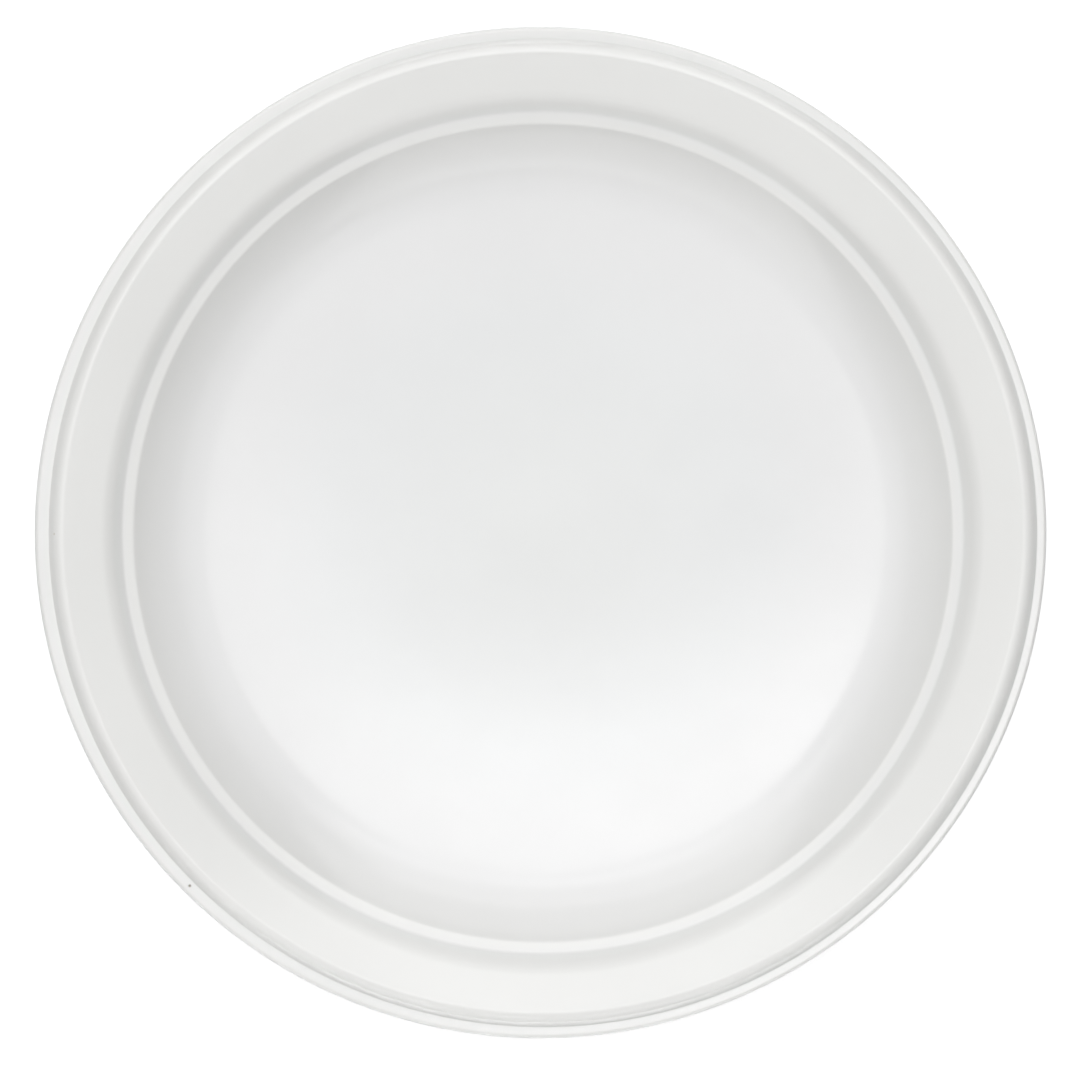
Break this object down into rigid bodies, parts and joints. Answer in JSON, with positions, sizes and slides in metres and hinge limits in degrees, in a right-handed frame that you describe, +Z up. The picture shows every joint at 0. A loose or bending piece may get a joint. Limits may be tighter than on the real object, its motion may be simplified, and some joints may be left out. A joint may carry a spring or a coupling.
{
  "type": "plate",
  "caption": "Round white glazed dinner plate with a shallow well, a stepped ledge, a narrow sloping rim, a turned-down lip and a foot ring to stand on.",
  "frame": {"origin": "centre of the foot ring's tread, on the surface the plate stands on", "axes": "+Z up along the plate's axis of revolution; the plate looks the same in every direction round it, and +Y is the top of the picture"},
  "size_m": [0.254, 0.254, 0.0243],
  "materials": {
    "porcelain": "matte",
    "glaze": "gloss"
  },
  "bodies": {
    "root": {"porcelain_body": "porcelain", "glaze_coat": "glaze", "foot_recess_glaze": "glaze"}
  },
  "joints": []
}
